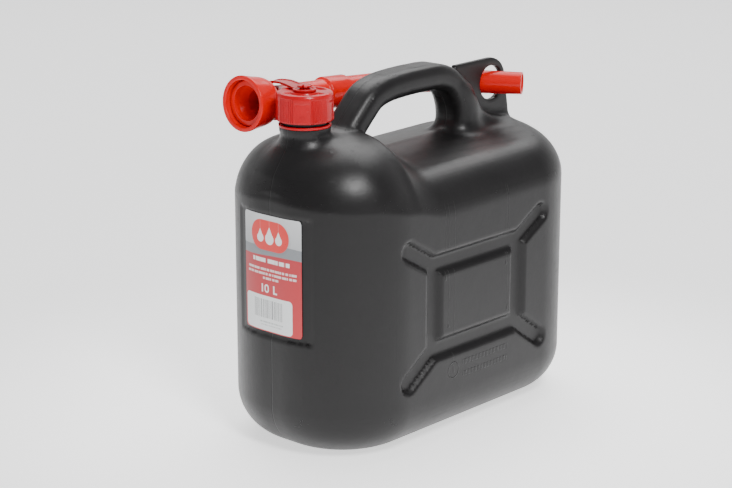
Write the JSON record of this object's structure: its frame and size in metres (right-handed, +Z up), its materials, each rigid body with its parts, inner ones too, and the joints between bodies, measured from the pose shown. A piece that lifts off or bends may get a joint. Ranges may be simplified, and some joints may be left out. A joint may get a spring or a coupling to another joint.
{
  "type": "fuel can",
  "caption": "Black blow-moulded plastic fuel can with a carrying handle, screw cap on a tether strap and a bent pouring spout stowed beside the handle.",
  "frame": {"origin": "on the ground, under the middle of the tank's footprint", "axes": "+Z up, -X towards the front with the label and neck, +X towards the rear fin, +Y towards the stowed spout"},
  "size_m": [0.313, 0.165, 0.2991],
  "materials": {
    "black_polyethylene": "satin blow-moulded surface",
    "label_film": "printed film, satin",
    "red_cap_plastic": "injection-moulded gloss",
    "red_spout_plastic": "injection-moulded gloss",
    "sealing_rubber": "matt"
  },
  "bodies": {
    "can": {"can_body": "black_polyethylene", "label": "label_film", "tether_ring": "red_cap_plastic"},
    "strap_end": {"tether_strap": "red_cap_plastic"},
    "cap_liner": {"cap_gasket": "sealing_rubber"},
    "cap": {"cap": "red_cap_plastic"},
    "spout": {"spout_base": "red_spout_plastic", "spout_tube": "red_spout_plastic"},
    "spout_nut": {"spout_nut": "red_spout_plastic"}
  },
  "joints": [
    {"name": "cap_off", "type": "slide", "parent": "can", "child": "strap_end", "axis": [0, 0, 1], "range_m": [0, 0.05], "deforming": ["tether_strap"]},
    {"name": "cap_rise", "type": "slide", "parent": "strap_end", "child": "cap_liner", "axis": [0, 0, 1], "range_m": [0, 0.01]},
    {"name": "cap_turn", "type": "hinge", "parent": "cap_liner", "child": "cap", "pos_m": [-0.116, 0, 0.28], "axis": [0, 0, 1], "range_deg": [0, 720]},
    {"name": "spout_out", "type": "slide", "parent": "can", "child": "spout", "axis": [-0.5, 0.866, 0], "range_m": [0, 0.12]},
    {"name": "nut_spin", "type": "hinge", "parent": "spout", "child": "spout_nut", "pos_m": [-0.1374, 0.048, 0.2767], "axis": [0.9985, 0.0022, -0.0553], "continuous": true}
  ],
  "couplings": [
    {"joint": "cap_rise", "follows": "cap_turn", "m_per_rad": 0.00079577}
  ]
}
